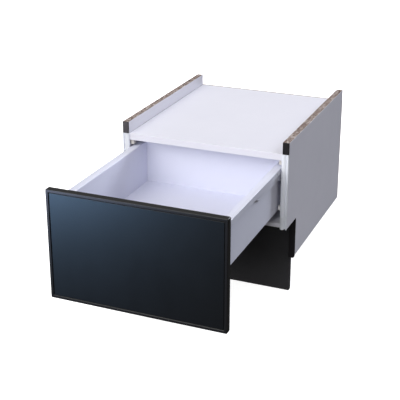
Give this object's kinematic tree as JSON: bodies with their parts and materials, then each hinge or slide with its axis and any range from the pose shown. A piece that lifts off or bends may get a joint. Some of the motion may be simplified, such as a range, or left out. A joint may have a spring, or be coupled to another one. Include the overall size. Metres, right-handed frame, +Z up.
{
  "type": "under counter drawer unit",
  "caption": "Low drawer base unit with raised side panels, a recessed plinth and a full-extension drawer behind a framed black front.",
  "frame": {"origin": "middle of the footprint of the unit with its drawer pulled out, at floor level", "axes": "+Z up, +Y from the drawer front towards the back panel, +X towards the right for someone facing the drawer front"},
  "size_m": [0.5, 1.002, 0.496],
  "materials": {
    "white_melamine_board": "satin",
    "white_hardboard": "satin",
    "white_drawer_board": "satin",
    "white_seal_plastic": "satin",
    "black_edge_plastic": "satin",
    "black_plinth_board": "matte",
    "black_front_board": "gloss",
    "black_frame_plastic": "satin",
    "black_leg_plastic": "matte",
    "white_guide_plastic": "satin",
    "beige_stop_plastic": "satin",
    "white_coated_runner_steel": "satin",
    "grey_cage_plastic": "matte",
    "polished_ball_steel": "polished",
    "zinc_screw_steel": "satin",
    "cam_alloy": "satin",
    "beech_dowel_wood": "matte",
    "zinc_bracket_steel": "satin"
  },
  "bodies": {
    "carcass": {"right_side_panel": "white_melamine_board", "left_side_panel": "white_melamine_board", "top_shelf": "white_melamine_board", "bottom_panel": "white_melamine_board", "back_panel": "white_hardboard", "back_panel_screws": "zinc_screw_steel", "carcass_dowels": "beech_dowel_wood", "cam_locks": "cam_alloy", "cam_bolts": "zinc_screw_steel", "right_seal_profile": "white_seal_plastic", "left_seal_profile": "white_seal_plastic", "right_upstand_cap": "black_edge_plastic", "left_upstand_cap": "black_edge_plastic", "right_recess_strip": "black_edge_plastic", "left_recess_strip": "black_edge_plastic", "plinth_board": "black_plinth_board", "plinth_clips": "black_leg_plastic", "plinth_clip_screws": "zinc_screw_steel", "leg_sockets": "black_leg_plastic", "leg_socket_screws": "zinc_screw_steel", "leg_tubes": "black_leg_plastic", "right_guide_block": "white_guide_plastic", "left_guide_block": "white_guide_plastic", "stop_blocks": "beige_stop_plastic", "right_cabinet_member": "white_coated_runner_steel", "left_cabinet_member": "white_coated_runner_steel", "runner_cabinet_screws": "zinc_screw_steel"},
    "drawer": {"drawer_right_side": "white_drawer_board", "drawer_left_side": "white_drawer_board", "drawer_back": "white_drawer_board", "drawer_bottom": "white_drawer_board", "drawer_box_screws": "zinc_screw_steel", "front_frame": "black_frame_plastic", "front_panel": "black_front_board", "right_front_bracket": "zinc_bracket_steel", "left_front_bracket": "zinc_bracket_steel", "front_bracket_screws": "zinc_screw_steel", "right_drawer_member": "white_coated_runner_steel", "left_drawer_member": "white_coated_runner_steel", "runner_drawer_screws": "zinc_screw_steel"},
    "right_middle": {"right_middle_member": "white_coated_runner_steel"},
    "left_middle": {"left_middle_member": "white_coated_runner_steel"},
    "right_lower_cage": {"right_lower_ball_cage": "grey_cage_plastic", "right_lower_balls": "polished_ball_steel"},
    "left_lower_cage": {"left_lower_ball_cage": "grey_cage_plastic", "left_lower_balls": "polished_ball_steel"},
    "right_upper_cage": {"right_upper_ball_cage": "grey_cage_plastic", "right_upper_balls": "polished_ball_steel"},
    "left_upper_cage": {"left_upper_ball_cage": "grey_cage_plastic", "left_upper_balls": "polished_ball_steel"},
    "front_right_foot": {"front_right_foot": "black_leg_plastic"},
    "front_left_foot": {"front_left_foot": "black_leg_plastic"},
    "rear_right_foot": {"rear_right_foot": "black_leg_plastic"},
    "rear_left_foot": {"rear_left_foot": "black_leg_plastic"}
  },
  "joints": [
    {"name": "drawer_slide", "type": "slide", "parent": "carcass", "child": "drawer", "axis": [0, -1, 0], "range_m": [-0.4194, 0.03]},
    {"name": "right_middle_slide", "type": "slide", "parent": "carcass", "child": "right_middle", "axis": [0, -1, 0], "range_m": [-0.2098, 0.0151]},
    {"name": "right_lower_cage_slide", "type": "slide", "parent": "carcass", "child": "right_lower_cage", "axis": [0, -1, 0], "range_m": [-0.10495, 0.0076]},
    {"name": "right_upper_cage_slide", "type": "slide", "parent": "carcass", "child": "right_upper_cage", "axis": [0, -1, 0], "range_m": [-0.31465, 0.0226]},
    {"name": "left_middle_slide", "type": "slide", "parent": "carcass", "child": "left_middle", "axis": [0, -1, 0], "range_m": [-0.2098, 0.0151]},
    {"name": "left_lower_cage_slide", "type": "slide", "parent": "carcass", "child": "left_lower_cage", "axis": [0, -1, 0], "range_m": [-0.10495, 0.0076]},
    {"name": "left_upper_cage_slide", "type": "slide", "parent": "carcass", "child": "left_upper_cage", "axis": [0, -1, 0], "range_m": [-0.31465, 0.0226]},
    {"name": "front_right_foot_adjust", "type": "slide", "parent": "carcass", "child": "front_right_foot", "axis": [0, 0, -1], "range_m": [0, 0.02]},
    {"name": "front_left_foot_adjust", "type": "slide", "parent": "carcass", "child": "front_left_foot", "axis": [0, 0, -1], "range_m": [0, 0.02]},
    {"name": "rear_right_foot_adjust", "type": "slide", "parent": "carcass", "child": "rear_right_foot", "axis": [0, 0, -1], "range_m": [0, 0.02]},
    {"name": "rear_left_foot_adjust", "type": "slide", "parent": "carcass", "child": "rear_left_foot", "axis": [0, 0, -1], "range_m": [0, 0.02]}
  ],
  "couplings": [
    {"joint": "right_middle_slide", "follows": "drawer_slide", "ratio": 0.5},
    {"joint": "right_lower_cage_slide", "follows": "drawer_slide", "ratio": 0.25},
    {"joint": "right_upper_cage_slide", "follows": "drawer_slide", "ratio": 0.75},
    {"joint": "left_middle_slide", "follows": "drawer_slide", "ratio": 0.5},
    {"joint": "left_lower_cage_slide", "follows": "drawer_slide", "ratio": 0.25},
    {"joint": "left_upper_cage_slide", "follows": "drawer_slide", "ratio": 0.75}
  ]
}
